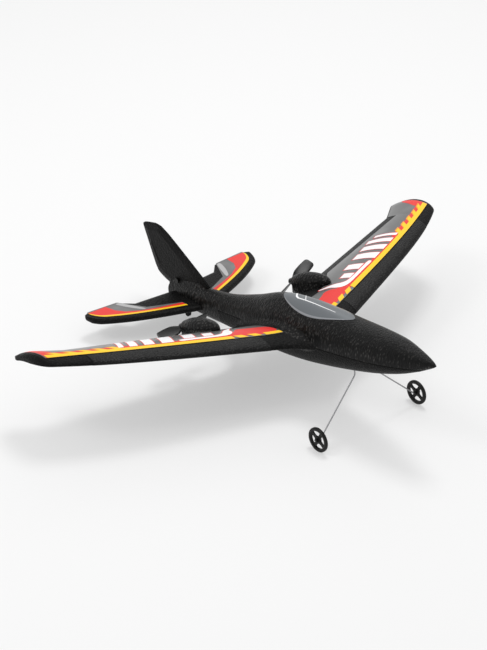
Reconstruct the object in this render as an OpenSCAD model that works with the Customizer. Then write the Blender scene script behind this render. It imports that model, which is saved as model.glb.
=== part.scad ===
// Twin-motor foam glider for radio control, standing on its two wheels and its tail skid.
// Every part is drawn in the airframe's own axes, in millimetres: +X to the nose, +Y to port, +Z up,
// with the fuselage's reference line on the X axis. stance() then tips the airframe nose up and sets it
// on the ground, with the middle of its length above the origin.

/* [Airframe] */
// Nose-up angle of the reference line when the glider stands on its gear
stance_pitch = 12; // [11:0.25:13]
// Squareness of the fuselage's sections: 2 is an ellipse
roundness = 2.2; // [2:0.1:2.6]

/* [Wing] */
// Wing span, tip to tip
wing_span = 380; // [370:2:390]
// Rise of each wing panel towards its tip, in degrees
dihedral = 11.7; // [11:0.1:12.4]
// Angle of the wing's chord to the reference line, in degrees
incidence = 3.7; // [3:0.1:4.4]
// Camber of the wing's section, as a part of its chord
camber = 0.062; // [0.05:0.002:0.07]
// Thickness of the wing at its root
wing_root_t = 10.5; // [9.5:0.25:11]
// Thickness of the wing at its tip
wing_tip_t = 5.8; // [5:0.2:6.4]
// Thickness of the printed film on the wings and the tailplane
film_t = 0.2; // [0.15:0.05:0.3]
// Diameter of the carbon rod in each wing
spar_d = 2; // [1.5:0.1:2.2]

/* [Tail] */
// Span of the tailplane, tip to tip
tail_span = 164; // [160:1:168]
// Thickness of the tailplane
tail_t = 4.8; // [4:0.2:5]
// Thickness of the fin
fin_t = 4; // [3:0.25:4.5]

/* [Power] */
// Diameter of each propeller
prop_d = 46; // [42:1:50]
// Distance of each propeller's axis from the middle plane
prop_y = 54; // [53:0.5:55]
// Nose-up angle of the motors to the reference line, in degrees
thrust_tilt = 10; // [8:0.5:12]
// Diameter of each motor's can
motor_d = 7; // [6:0.1:7.4]
// Travel of the power switch
switch_travel = 2; // [1.5:0.1:2.2]

/* [Running gear] */
// Distance between the middle planes of the two wheels
track = 96; // [92:1:100]
// Diameter of each wheel
wheel_d = 18.6; // [18:0.1:19.4]
// Width of each wheel's rim
rim_w = 2; // [1.8:0.1:2.4]
// Diameter of the steel gear wire
wire_d = 1; // [0.8:0.1:1.2]

/* [Hidden] */

$fn = 48;
gap = 0.1;
run = 0.05;
half_span = wing_span / 2;
half_tail = tail_span / 2;
wheel_y = track / 2;

// Fuselage stations: [X, top, bottom, half width]
STATIONS = [
    [157.5, 0.5, -0.3, 0.4], [155, 2.1, -1.8, 1.9], [150, 4.3, -3.9, 4.1], [141, 7.6, -7.4, 7.3],
    [125, 12.2, -12.2, 12], [105, 14.9, -16.2, 15.2], [82, 17.2, -19.4, 16.8], [55, 20.3, -22.4, 17.2],
    [28, 22.6, -24.4, 16.5], [0, 21.6, -24.6, 14.5], [-28, 14.5, -22.4, 11.5], [-60, 8.4, -19, 8.5],
    [-90, 7.4, -16.2, 6.6], [-115, 6, -13.5, 5.2], [-138, 3, -9.6, 3.4]];
seam_z = -4;
nose_x = STATIONS[0][0];

// Fin outline in the middle plane: root, leading edge, tip, trailing edge
FIN = [[-92, 2.6], [-85.6, 8.4], [-140, 51.6], [-160.3, 50.5], [-163.3, 48.9], [-152.9, 10.8], [-138.6, 2.8]];
fin_bevel = 6;

gear_x = 82;
wire_y = 7.7;
wire_top = -11;
wire_knee = -21.2;
axle_z = -55.8;
axle_in = wheel_y - 2.4;
axle_out = wheel_y + 3;
hub_x = -52;
hub_z = 2.6;

lift = wheel_d / 2 - gear_x * sin(stance_pitch) - axle_z * cos(stance_pitch);
tail_x = FIN[4][0] * cos(stance_pitch) - FIN[4][1] * sin(stance_pitch);
shift = -(nose_x * cos(stance_pitch) + tail_x) / 2;
skid_x = -121;
skid_z = -(lift + skid_x * sin(stance_pitch)) / cos(stance_pitch);

module stance() translate([shift, 0, lift]) rotate([0, -stance_pitch, 0]) children();
module port() children();
module starboard() mirror([0, 1, 0]) children();
module both_sides() {
    port() children();
    starboard() children();
}

function clamp(v, low, high) = max(low, min(high, v));
function mix(a, b, f) = a + (b - a) * f;
// Smooth curve through column c of a table whose first column falls from row to row
function slope(t, i, c) =
    let (a = t[max(i - 1, 0)], b = t[min(i + 1, len(t) - 1)]) (b[c] - a[c]) / (b[0] - a[0]);
function curve(t, x, c) =
    let (i = max([for (k = [0 : len(t) - 2]) if (k == 0 || t[k][0] >= x) k]), a = t[i], b = t[i + 1],
        w = b[0] - a[0], f = (x - a[0]) / w, g = 1 - f)
    a[c] * g * g * (1 + 2 * f) + b[c] * f * f * (3 - 2 * f)
        + w * (slope(t, i, c) * f * g * g - slope(t, i + 1, c) * f * f * g);

// Solid through a list of rings, each a list of the same number of points
module skin(rings) {
    n = len(rings[0]);
    last = len(rings) - 1;
    polyhedron(
        points = [for (r = rings) each r],
        faces = concat(
            [[for (i = [0 : n - 1]) i]],
            [for (j = [0 : last - 1], i = [0 : n - 1])
                let (a = j * n + i, b = j * n + (i + 1) % n)
                each [[a, a + n, b + n], [a, b + n, b]]],
            [[for (i = [n - 1 : -1 : 0]) last * n + i]]));
}

// Round bar between two points
module rod(a, b, d) {
    v = b - a;
    translate(a) rotate([0, acos(v[2] / norm(v)), atan2(v[1], v[0])]) cylinder(h = norm(v), d = d);
}

// ---- fuselage ----
function power(v, e) = sign(v) * pow(abs(v), e);
function middle(x) = mix(curve(STATIONS, x, 2), curve(STATIONS, x, 1), 0.45);
function section(x, around) =
    let (top = curve(STATIONS, x, 1), low = curve(STATIONS, x, 2),
        mid = middle(x), half = curve(STATIONS, x, 3))
    [for (i = [0 : around - 1])
        let (a = 360 * i / around, d = power(sin(a), 2 / roundness))
        [x, half * power(cos(a), 2 / roundness), mid + d * (d > 0 ? top - mid : mid - low)]];
// Height of the fuselage's upper surface above the point x, y
function deck_z(x, y) =
    let (mid = middle(x), k = min(abs(y) / curve(STATIONS, x, 3), 1))
    mid + (curve(STATIONS, x, 1) - mid) * pow(1 - pow(k, roundness), 1 / roundness);

// Places of the rings, close together at the nose
RING_X = concat([nose_x, 156.6, 155, 152.6, 149.5, 145.5, 140.5], [for (x = [134 : -7 : -134]) x], [-138]);
module fuselage_body(around = 32) skin([for (x = RING_X) section(x, around)]);

belly_tail = -70;
module belly_half() translate([belly_tail, -50, seam_z - 100]) cube([300, 100, 100]);
module outside_belly() {
    translate([-200, -50, seam_z]) cube([400, 100, 100]);
    translate([-200, -50, -60]) cube([200 + belly_tail, 100, 100]);
}

// Bay for the battery and the receiver, open across the seam
bay = [20, 96];
bay_half = 8.5;
bay_floor = -15;
module equipment_bay() translate([bay[0], -bay_half, bay_floor]) cube([bay[1] - bay[0], 2 * bay_half, 22]);

// ---- canopy: a thin printed skin bonded to the top of the fuselage ----
canopy_x = [5, 80];
canopy_half = 11.7;
canopy_out = 0.35;
canopy_in = 0.15;
// Half width of the canopy from its rear, where t is 0, to its point in front
function canopy_edge(t) = canopy_half * 2.74 * pow(t, 0.7) * pow(1 - t, 0.75);
function canopy_row(t, n) =
    let (x = mix(canopy_x[0], canopy_x[1], t), half = canopy_edge(t))
    [for (i = [0 : n]) let (y = half * (2 * i / n - 1)) [x, y, deck_z(x, y)]];
module canopy_skin() {
    steps = 18;
    skin([for (i = [0 : steps])
        let (r = canopy_row(mix(0.01, 0.98, cosine(i, steps)), 8))
        concat([for (p = r) p + [0, 0, canopy_out]],
            [for (k = [len(r) - 1 : -1 : 0]) r[k] - [0, 0, canopy_in]])]);
}

// ---- wing ----
function wing_lead(y) = 47 - 0.324 * y - 15 * pow(y / half_span, 6);
function wing_trail(y) = -33.4 - 0.156 * y;
// Step in the trailing edge near the tip
function step_back(y) = 10.5 * clamp((y - half_span + 27) / 18, 0, 1);
// How far an edge draws in round a corner of radius r at the tip
function corner(y, limit, r) = y <= limit - r ? 0 : r - sqrt(max(0, r * r - pow(y - (limit - r), 2)));
// Fairing that carries the leading edge forward along the fuselage
function strake(y) = 24 * exp(-pow(max(y - 10, 0) / 9, 1.6));
function lead(y) = wing_lead(y) + strake(y) - 2 * corner(y, half_span, 6.5);
function trail(y) = wing_trail(y) - step_back(y) + corner(y, half_span, 12);
function tip_round(y) = 1 - 0.6 * pow(clamp((y - half_span + 4) / 4, 0, 1), 2);
function wing_t(y) = mix(wing_root_t, wing_tip_t, y / half_span) * tip_round(y);
// Thickness of the airfoil along its chord: 0 at the nose, about 1 at its fullest
function form(s) = 2.969 * sqrt(s) - 1.26 * s - 3.516 * s * s + 2.843 * pow(s, 3) - 1.015 * pow(s, 4);
function mean_z(y, s) =
    let (c = lead(y) - trail(y), x = lead(y) - c * s, arch = camber * (c - strake(y)))
    -11.8 + y * tan(dihedral) + x * tan(incidence) + arch * 4 * s * (1 - s);
function top_z(y, s) = mean_z(y, s) + 0.62 * wing_t(y) * form(s) + 0.9 * s;
function low_z(y, s) = mean_z(y, s) - 0.38 * wing_t(y) * form(s) - 0.9 * s;
function chord_x(y, s) = mix(lead(y), trail(y), s);
function chord_s(y, x) = (lead(y) - x) / (lead(y) - trail(y));
function cosine(k, n) = (1 - cos(180 * k / n)) / 2;

function wing_ring(y, n) = concat(
    [for (k = [n : -1 : 0]) let (s = cosine(k, n)) [chord_x(y, s), y, top_z(y, s)]],
    [for (k = [1 : n]) let (s = cosine(k, n)) [chord_x(y, s), y, low_z(y, s)]]);

// Distances from the tip of the close stations there
TIP_STEPS = [27, 20, 14, 8, 6.5, 5, 3.6, 2.4, 1.4, 0.6, 0];
ROOT_Y = [10, 12.5, 15, 17.5, 20, 23];
WING_Y = concat(ROOT_Y, [27, 33], [for (i = [0 : 5]) 42 + 22 * i], [for (d = TIP_STEPS) half_span - d]);
wing_steps = 12;
module wing_body() skin([for (y = WING_Y) wing_ring(y, wing_steps)]);
module wing_root() skin([for (y = ROOT_Y) wing_ring(y, wing_steps)]);
module wing_panel() {
    difference() {
        wing_body();
        spar();
    }
}

function spar_point(y) = let (s = 0.3) [chord_x(y, s) - strake(y), y, mean_z(y, s) + 0.1 * wing_t(y)];
module spar() rod(spar_point(12), spar_point(150), spar_d);

// Thin plate laid on an upper surface: rows run outboard, the points of a row run aft
module laid_film(rows) {
    skin([for (r = rows) concat(
        [for (p = r) p + [0, 0, film_t / 2]],
        [for (i = [len(r) - 1 : -1 : 0]) r[i] - [0, 0, film_t / 2]])]);
}

film_y = [22, half_span - 5.5];
function film_front(y) = 32.8 - 0.3 * y - 11.3 * pow(y / half_span, 5);
function film_rear(y) =
    y > half_span - 27 ? trail(y) + 2 : mix(-8, trail(y) + 12.5, clamp((y - 44) / 29, 0, 1));
function film_row(y, n) = [for (k = [0 : n])
    let (x = mix(min(film_front(y), lead(y) - 2), film_rear(y), k / n)) [x, y, top_z(y, chord_s(y, x))]];
module wing_film_body() {
    count = 20;
    laid_film([for (j = [0 : count]) film_row(mix(film_y[0], film_y[1], 1 - pow(1 - j / count, 1.3)), 7)]);
}

// Moulded guard round the leading edge, which ends just ahead of the printed film
guard_y = [41, 160];
function guard_arc(y, out) =
    let (heart = [chord_x(y, 0) - 6, y, mean_z(y, 0.08)], reach = chord_s(y, film_front(y) + 0.8))
    [for (k = [4 : -1 : -4])
        let (s = reach * pow(abs(k) / 4, 1.7),
            p = [chord_x(y, s), y, k > 0 ? top_z(y, s) : low_z(y, s)], v = p - heart)
        p + v / norm(v) * out];
function guard_ring(y) = concat(guard_arc(y, 0.15), [for (i = [8 : -1 : 0]) guard_arc(y, -0.15)[i]]);
module edge_guard_body() skin([for (i = [0 : 12]) guard_ring(mix(guard_y[0], guard_y[1], i / 12))]);

// ---- tail ----
tail_round = 7;
function tail_corner(y) = corner(y, half_tail + 0.2, tail_round);
function tail_lead(y) = -89.7 - 0.365 * y - 10.6 * pow(y / half_tail, 4) - 1.5 * tail_corner(y);
function tail_trail(y) = -132.8 - 0.033 * y - 9.9 * clamp((y - 39.7) / 9.3, 0, 1) + tail_corner(y);
tail_mid = -115;
tail_low = -3;
tail_rise = 0.03;
tail_fall = 0.105;
tail_dip = atan(tail_fall);
tail_roll = atan(tail_rise * cos(tail_dip));
function tail_z(x, y) = tail_low + tail_rise * y - (x - tail_mid) * tail_fall;
// Section of the tailplane: part of the chord, part of the thickness
TAIL_FORM = [[1, 0.25], [0.85, 0], [0.2, 0], [0.06, 0.06], [0.02, 0.2], [0, 0.5], [0.02, 0.8], [0.06, 0.94],
    [0.2, 1], [0.85, 1], [1, 0.75]];
function tail_thick(y) = tail_t * (1 - 0.5 * pow(clamp((y - half_tail + 2) / 2, 0, 1), 2));
function tail_ring(side) =
    let (y = abs(side), t = tail_thick(y))
    [for (q = TAIL_FORM) let (x = mix(tail_lead(y), tail_trail(y), q[0])) [x, side, tail_z(x, y) - q[1] * t]];
TAIL_Y = [0, 12, 24, 34, 39.7, 44, 49, 56, 62, 68, 72, 75, 77.5, 79.5, 81, 82];
module tailplane_body() {
    last = len(TAIL_Y) - 1;
    skin([for (i = [-last : last]) tail_ring(sign(i) * TAIL_Y[abs(i)] * half_tail / TAIL_Y[last])]);
}

// Printed film on each half of the tailplane: one flat sheet that leaves the inboard rear corner bare
tail_film_y = [13, half_tail - 4];
bare_y = 38;
function tail_film_front(y) =
    -95.4 - 0.365 * y - 10.6 * pow(y / half_tail, 4) - 1.5 * corner(y, half_tail - 3.4, 8);
function tail_film_rear(y) =
    max(tail_trail(y) + 2, y < bare_y ? -108 - 0.48 * (y - tail_film_y[0]) : -120 - 2 * (y - bare_y));
module tail_film_body() {
    count = 18;
    rows = [for (j = [0 : count]) mix(tail_film_y[0], tail_film_y[1], 1 - pow(1 - j / count, 1.4))];
    outline = concat(
        [for (y = rows) [tail_film_front(y), y]],
        [for (k = [count : -1 : 0]) [tail_film_rear(rows[k]), rows[k]]]);
    in_plane = [for (p = outline)
        let (v = p[1] / cos(tail_roll), aft = p[0] - tail_mid)
        [(aft - v * sin(tail_roll) * sin(tail_dip)) / cos(tail_dip), v]];
    translate([tail_mid, 0, tail_low]) rotate([tail_roll, tail_dip, 0])
        linear_extrude(film_t, center = true) polygon(in_plane);
}

module fin_body() {
    difference() {
        hull() {
            rotate([90, 0, 0]) linear_extrude(1.6, center = true) polygon(FIN);
            rotate([90, 0, 0]) linear_extrude(fin_t, center = true) offset(delta = -fin_bevel) polygon(FIN);
            translate([-137.6, -fin_t / 2, 2.9]) cube([46, fin_t, 1]);
        }
        hull() {
            for (p = [[-153.6, 34], [-146.6, 19.4]]) {
                translate([p[0], 0, p[1]]) rotate([90, 0, 0])
                    cylinder(h = 8, d = 2.2, center = true, $fn = 16);
            }
        }
    }
}

module tail_skid_body() {
    rotate([90, 0, 0]) linear_extrude(2.2, center = true) {
        hull() {
            translate([skid_x - 6, -10]) square([13, 1]);
            translate([skid_x, skid_z + 2.5]) circle(r = 2.5);
        }
    }
}

// ---- power ----
module at_engine() translate([hub_x, prop_y, hub_z]) rotate([0, -thrust_tilt, 0]) children();
module along_x() rotate([0, 90, 0]) children();

pod_rear = 3.4;
pod_len = 41;
pod_r = 7.6;
motor_x = [4.6, 20.6];
shaft_d = 1;
// Radius of the nacelle, from 0 at its rear face to 1 at its tip
full_at = 0.36;
function pod_radius(t) = pod_r * (t < full_at
    ? mix(0.66, 1, sin(90 * t / full_at))
    : sqrt(max(0, 1 - pow((t - full_at) / (1 - full_at), 2.3))));
module nacelle_form() {
    at_engine() along_x() rotate_extrude() polygon(concat(
        [[0, pod_rear]],
        [for (i = [0 : 24]) let (t = sin(90 * i / 24)) [pod_radius(t), pod_rear + pod_len * t]]));
}
module nacelle_body() {
    difference() {
        nacelle_form();
        at_engine() along_x() translate([0, 0, pod_rear - 1])
            cylinder(h = motor_x[1] - pod_rear + 1 + gap, d = motor_d + 2 * gap);
        wing_body();
    }
}
module motor_body() {
    at_engine() along_x() difference() {
        translate([0, 0, motor_x[0]]) cylinder(h = motor_x[1] - motor_x[0], d = motor_d);
        cylinder(h = 17, d = shaft_d + 2 * run);
    }
}
module motor_cap_body() {
    at_engine() along_x() difference() {
        translate([0, 0, motor_x[0] - 1]) cylinder(h = 1, d = motor_d - 0.4);
        cylinder(h = 17, d = shaft_d + 2 * run + 0.1);
    }
}
module shaft_body() at_engine() along_x() translate([0, 0, -2.2]) cylinder(h = 18, d = shaft_d);

prop_pitch = [58, 43];
blade_c = 10;
blade_root = 0.2;
blade_t = [1.5, 0.7];
// Section of a blade: part of its chord, part of its thickness
BLADE_FORM = [[-0.5, 0], [-0.2, 0.5], [0.25, 0.42], [0.5, 0], [0.25, -0.42], [-0.2, -0.5]];
function blade_chord(t) =
    let (root = mix(blade_root, 1, sin(90 * min(1, t / 0.45))), tip = 0.2 * pow(max(t - 0.5, 0) / 0.5, 2))
    blade_c * (root - tip);
function blade_ring(r, turn) =
    let (t = r / (prop_d / 2), a = turn * mix(prop_pitch[0], prop_pitch[1], pow(t, 0.7)))
    [for (q = BLADE_FORM)
        let (u = q[0] * blade_chord(t), v = q[1] * mix(blade_t[0], blade_t[1], t))
        [u * sin(a) - v * cos(a), r, u * cos(a) + v * sin(a)]];
module blade(turn) skin([for (i = [0 : 11]) blade_ring(mix(1.4, prop_d / 2, i / 11), turn)]);
module propeller_body(turn, angle) {
    at_engine() rotate([angle, 0, 0]) difference() {
        union() {
            blade(turn);
            rotate([180, 0, 0]) blade(turn);
            along_x() translate([0, 0, -2.6]) cylinder(h = 5.2, d = 5);
            along_x() translate([0, 0, -4.4]) cylinder(h = 1.8, d1 = 2.6, d2 = 5);
        }
        along_x() translate([0, 0, -2.2]) cylinder(h = 6, d = shaft_d);
    }
}

// ---- running gear ----
module wire_path(d) {
    line = [[gear_x, wire_y, wire_top], [gear_x, wire_y, wire_knee], [gear_x, axle_in, axle_z],
        [gear_x, axle_out, axle_z]];
    bend_d = d * 1.08;
    for (i = [0 : 2]) {
        rod(line[i], line[i + 1], d);
    }
    for (i = [0 : 2]) {
        translate(line[i]) sphere(d = bend_d);
    }
}
module gear_wire_body() {
    both_sides() wire_path(wire_d);
    rod([gear_x, -wire_y, wire_top], [gear_x, wire_y, wire_top], wire_d);
}
leg_slot = wire_d + 0.3;
module leg_channel()
    translate([gear_x - leg_slot / 2, wire_y - leg_slot / 2, wire_knee]) cube([leg_slot, leg_slot, 8]);
module gear_clamp_form() translate([gear_x - 4, -8.4, bay_floor]) cube([8, 16.8, 6]);

hub_d = 5.4;
rim_in = wheel_d / 2 - 2.5;
spoke_w = 2.6;
module at_axle(y) translate([gear_x, y, axle_z]) rotate([-90, 0, 0]) children();
module wheel_body() {
    at_axle(wheel_y - rim_w / 2) difference() {
        union() {
            difference() {
                cylinder(h = rim_w, d = wheel_d);
                translate([0, 0, -1]) cylinder(h = rim_w + 2, r = rim_in);
            }
            translate([0, 0, 0.4]) for (a = [0, 90]) {
                rotate([0, 0, a + 40]) translate([-rim_in - 0.5, -spoke_w / 2, 0])
                    cube([2 * rim_in + 1, spoke_w, rim_w - 0.8]);
            }
            cylinder(h = rim_w, d = hub_d);
        }
        translate([0, 0, -1]) cylinder(h = rim_w + 2, d = wire_d + 2 * run);
    }
}
module ring_on_axle(y, h, d) {
    at_axle(y) difference() {
        cylinder(h = h, d = d);
        translate([0, 0, -1]) cylinder(h = h + 2, d = wire_d);
    }
}
module wheel_cap_body() ring_on_axle(wheel_y + rim_w / 2 + 0.15, 1.2, 2.8);
module wheel_collar_body() ring_on_axle(wheel_y - rim_w / 2 - 0.15 - 0.9, 0.9, 2.4);

// ---- equipment ----
plate_x = [28, 58];
plate_half = 6;
switch_x = 36;
socket_x = 49;
plate_top = -20;
module plate_block(play = 0) {
    translate([plate_x[0] - play, -plate_half - play, -40])
        cube([plate_x[1] - plate_x[0] + 2 * play, 2 * (plate_half + play), 40 + plate_top]);
}
module housing(x, size, play) {
    translate([x - size[0] / 2 - play, -size[1] / 2 - play, plate_top - 5 * play])
        cube([size[0] + 2 * play, size[1] + 2 * play, size[2] + 6 * play]);
}
module switch_form(play = 0) housing(switch_x, [9, 4.8, 4], play);
module socket_form(play = 0) housing(socket_x, [7.2, 6, 4.6], play);

module fuselage_upper() {
    color("#2a2a2b") difference() {
        fuselage_body();
        belly_half();
        equipment_bay();
        fin_body();
        tailplane_body();
        tail_skid_body();
        both_sides() wing_root();
    }
}
module fuselage_belly() {
    color("#262627") difference() {
        fuselage_body();
        outside_belly();
        equipment_bay();
        plate_block();
        switch_form(gap);
        socket_form(gap);
        both_sides() {
            wing_root();
            leg_channel();
        }
    }
}
module canopy() color("#a9adb2") canopy_skin();
module wing() color("#2c2c2d") wing_panel();
module spar_rod() color("#1a1a1a") spar();
module edge_guard() color("#232323") edge_guard_body();
module wing_film() color("#d9483f") wing_film_body();
module tailplane() color("#2c2c2d") tailplane_body();
module tail_film() color("#e2a13a") tail_film_body();
module fin() color("#2d2d2e") fin_body();
module fin_clip() color("#3a3a3a") {
    for (side = [0, 1]) mirror([0, side, 0]) {
        translate([-125.4, fin_t / 2, 7.8]) rotate([-90, 0, 0]) cylinder(h = 1.6, d = 4.6);
    }
}
module tail_skid() color("#202020") tail_skid_body();
module nacelle() color("#2f2f30") nacelle_body();
module motor() color("#b9bcc0") motor_body();
module motor_cap() color("#e8e8e8") motor_cap_body();
module shaft() color("#c8cacd") shaft_body();
module propeller(angle) color("#111111") propeller_body(-1, angle);
module gear_wire() color("#b4b6b8") gear_wire_body();
module gear_clamp() color("#1d1d1d") difference() {
    gear_clamp_form();
    gear_wire_body();
}
module wheel() color("#1e1e1e") wheel_body();
module wheel_cap() color("#2a2a2a") wheel_cap_body();
module wheel_collar() color("#2a2a2a") wheel_collar_body();
battery_size = [26, 14, 6];
battery_place = [50, -7, -6];
tray_wall = 0.9;
module battery() color("#c9ced6") translate(battery_place) cube(battery_size);
wall = [tray_wall, tray_wall, tray_wall];
module battery_tray() color("#222222") translate(battery_place - wall) difference() {
    cube([battery_size[0] + 2 * tray_wall, battery_size[1] + 2 * tray_wall, 4]);
    translate(wall) cube([battery_size[0], battery_size[1], 4]);
}
module receiver_board() color("#1f6b3a") translate([22, -7.5, -3]) cube([26, 15, 1]);
module receiver_shield() color("#c0c4c8") translate([28, -5, -2]) cube([12, 10, 1.6]);
module power_switch() color("#9aa0a6") difference() {
    switch_form();
    translate([switch_x - 2.4, -1, plate_top - 1]) cube([4.8, 2, 3.4]);
}
slider = [2, 1.6, 5.2];
module switch_slider() color("#ededed")
    translate([switch_x - (slider[0] + switch_travel) / 2, -slider[1] / 2, plate_top + 2 - slider[2]])
        cube(slider);
module charge_socket() color("#e9e9e9") difference() {
    socket_form();
    translate([socket_x - 2.7, -1.7, plate_top - 1]) cube([5.4, 3.4, 4.4]);
}
module belly_plate() color("#1c1c1c") difference() {
    intersection() {
        fuselage_body();
        plate_block(-gap / 2);
    }
    translate([switch_x - 2.4, -1, plate_top - 10]) cube([4.8, 2, 11]);
    translate([socket_x - 2.7, -1.7, plate_top - 10]) cube([5.4, 3.4, 11]);
}

stance() fuselage_upper();
stance() fuselage_belly();
stance() canopy();
stance() port() wing();  // port_wing
stance() starboard() wing();  // starboard_wing
stance() port() spar_rod();  // port_spar
stance() starboard() spar_rod();  // starboard_spar
stance() port() edge_guard();  // port_edge_guard
stance() starboard() edge_guard();  // starboard_edge_guard
stance() port() wing_film();  // port_wing_film
stance() starboard() wing_film();  // starboard_wing_film
stance() tailplane();
stance() port() tail_film();  // port_tail_film
stance() starboard() tail_film();  // starboard_tail_film
stance() fin();
stance() fin_clip();
stance() tail_skid();
stance() port() nacelle();  // port_nacelle
stance() starboard() nacelle();  // starboard_nacelle
stance() port() motor();  // port_motor
stance() starboard() motor();  // starboard_motor
stance() port() motor_cap();  // port_motor_cap
stance() starboard() motor_cap();  // starboard_motor_cap
stance() port() shaft();  // port_shaft
stance() starboard() shaft();  // starboard_shaft
stance() port() propeller(24);  // port_propeller
stance() starboard() propeller(-2);  // starboard_propeller
stance() gear_wire();
stance() gear_clamp();
stance() port() wheel();  // port_wheel
stance() starboard() wheel();  // starboard_wheel
stance() port() wheel_cap();  // port_wheel_cap
stance() starboard() wheel_cap();  // starboard_wheel_cap
stance() port() wheel_collar();  // port_wheel_collar
stance() starboard() wheel_collar();  // starboard_wheel_collar
stance() battery();
stance() battery_tray();
stance() receiver_board();
stance() receiver_shield();
stance() power_switch();
stance() switch_slider();
stance() charge_socket();
stance() belly_plate();
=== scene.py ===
"""Foam twin-motor glider: high-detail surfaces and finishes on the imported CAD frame.

Shapes are drawn in the airframe's own axes in millimetres (x to the nose, y to port, z up) and
stance() puts them in the row frame in metres.
"""

import math

import bmesh
import bpy
import numpy as np
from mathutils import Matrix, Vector


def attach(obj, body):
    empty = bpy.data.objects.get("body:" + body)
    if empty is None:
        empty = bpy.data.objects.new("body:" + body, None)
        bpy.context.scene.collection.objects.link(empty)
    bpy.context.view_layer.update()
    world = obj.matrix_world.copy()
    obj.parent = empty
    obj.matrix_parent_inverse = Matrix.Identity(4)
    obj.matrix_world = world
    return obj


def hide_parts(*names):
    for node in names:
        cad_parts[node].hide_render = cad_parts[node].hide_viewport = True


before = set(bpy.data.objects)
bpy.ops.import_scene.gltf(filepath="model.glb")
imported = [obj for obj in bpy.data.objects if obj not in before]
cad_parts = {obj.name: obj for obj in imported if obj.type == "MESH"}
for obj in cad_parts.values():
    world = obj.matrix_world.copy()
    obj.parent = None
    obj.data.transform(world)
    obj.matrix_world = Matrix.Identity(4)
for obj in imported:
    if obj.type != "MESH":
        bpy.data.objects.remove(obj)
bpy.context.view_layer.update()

PITCH = math.radians(12)
SHIFT, LIFT = 7.92, 46.832
HALF_SPAN, HALF_TAIL = 190.0, 82.0
SIDES = (("port", 1), ("starboard", -1))


def stance(p):
    p = np.asarray(p, float)
    x = p[..., 0] * math.cos(PITCH) - p[..., 2] * math.sin(PITCH) + SHIFT
    z = p[..., 0] * math.sin(PITCH) + p[..., 2] * math.cos(PITCH) + LIFT
    return np.stack([x, p[..., 1], z], -1) / 1000


# ---------------------------------------------------------------- materials
def material(name, color, rough=0.5, metal=0.0, spec=0.5, coat=0.0):
    m = bpy.data.materials.new(name)
    m.use_nodes = True
    b = m.node_tree.nodes["Principled BSDF"]
    b.inputs["Base Color"].default_value = (*color, 1)
    b.inputs["Roughness"].default_value = rough
    b.inputs["Metallic"].default_value = metal
    b.inputs["Specular IOR Level"].default_value = spec
    b.inputs["Coat Weight"].default_value = coat
    b.inputs["Coat Roughness"].default_value = 0.12
    return m


def node(m, kind, **values):
    n = m.node_tree.nodes.new(kind)
    for k, v in values.items():
        if k in n.inputs:
            n.inputs[k].default_value = v
        else:
            setattr(n, k, v)
    return n


def link(m, a, out, b, into):
    m.node_tree.links.new(a.outputs[out], b.inputs[into])


def grain_and_glints(m, stretch, scale, low, high, bump, fine=0.35, tint=(1.0, 0.95, 0.9)):
    """Mottles a material's colour between two greys and roughens it with cells and fine noise. On the foams
    the lighter, warm-tinted grey at the cell centres is painted glints; on the other materials the mottle is
    their own tone.
    """
    bsdf = m.node_tree.nodes["Principled BSDF"]
    where = node(m, "ShaderNodeTexCoord")
    space = node(m, "ShaderNodeMapping")
    space.inputs["Scale"].default_value = stretch
    link(m, where, "Object", space, "Vector")
    warp = node(m, "ShaderNodeTexNoise", Scale=scale * 0.6, Detail=2.0)
    link(m, space, "Vector", warp, "Vector")
    push = node(m, "ShaderNodeVectorMath", operation="MULTIPLY_ADD")
    push.inputs[1].default_value = (0.0012, 0.0012, 0.0012)
    link(m, warp, "Color", push, 0)
    link(m, space, "Vector", push, 2)
    cells = node(m, "ShaderNodeTexVoronoi", Scale=scale)
    cells.feature = "SMOOTH_F1"
    cells.inputs["Smoothness"].default_value = 0.6
    link(m, push, "Vector", cells, "Vector")
    small = node(m, "ShaderNodeTexNoise", Scale=scale * 2.6, Detail=4.0)
    link(m, space, "Vector", small, "Vector")
    broad = node(m, "ShaderNodeTexNoise", Scale=45.0, Detail=2.0)
    link(m, where, "Object", broad, "Vector")
    total = node(m, "ShaderNodeMath", operation="MULTIPLY_ADD")
    total.inputs[1].default_value = fine
    link(m, small, "Fac", total, 0)
    link(m, cells, "Distance", total, 2)
    both = node(m, "ShaderNodeMath", operation="MULTIPLY_ADD")
    both.inputs[1].default_value = 0.5
    link(m, broad, "Fac", both, 0)
    link(m, total, "Value", both, 2)
    # The lighter colour falls on the cell centres: on the foams these light specks are painted glints on the
    # beads.
    ramp = node(m, "ShaderNodeValToRGB")
    ramp.color_ramp.elements[0].position = 0.35
    ramp.color_ramp.elements[1].position = 0.78
    ramp.color_ramp.elements[0].color = (high * tint[0], high * tint[1], high * tint[2], 1)
    ramp.color_ramp.elements[1].color = (low, low, low, 1)
    link(m, both, "Value", ramp, "Fac")
    link(m, ramp, "Color", bsdf, "Base Color")
    rise = node(m, "ShaderNodeBump", Strength=bump, Distance=0.0006)
    rise.invert = True
    link(m, total, "Value", rise, "Height")
    link(m, rise, "Normal", bsdf, "Normal")
    return m


# Foam: near-black own tone with a lighter warm speckle at the bead centres, which is painted glints; high
# sets how bright the painted glints are.
def foam(name, stretch=(1, 1, 1), scale=480, low=0.0015, high=0.07, bump=1.0, rough=0.38, spec=0.16):
    m = material(name, (0.02, 0.02, 0.02), rough, 0, spec)
    return grain_and_glints(m, stretch, scale, low, high, bump)


# Painted glints are brightest on foam_wrinkled, fainter on foam and edge_skin, and faintest on foam_fine.
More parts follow.
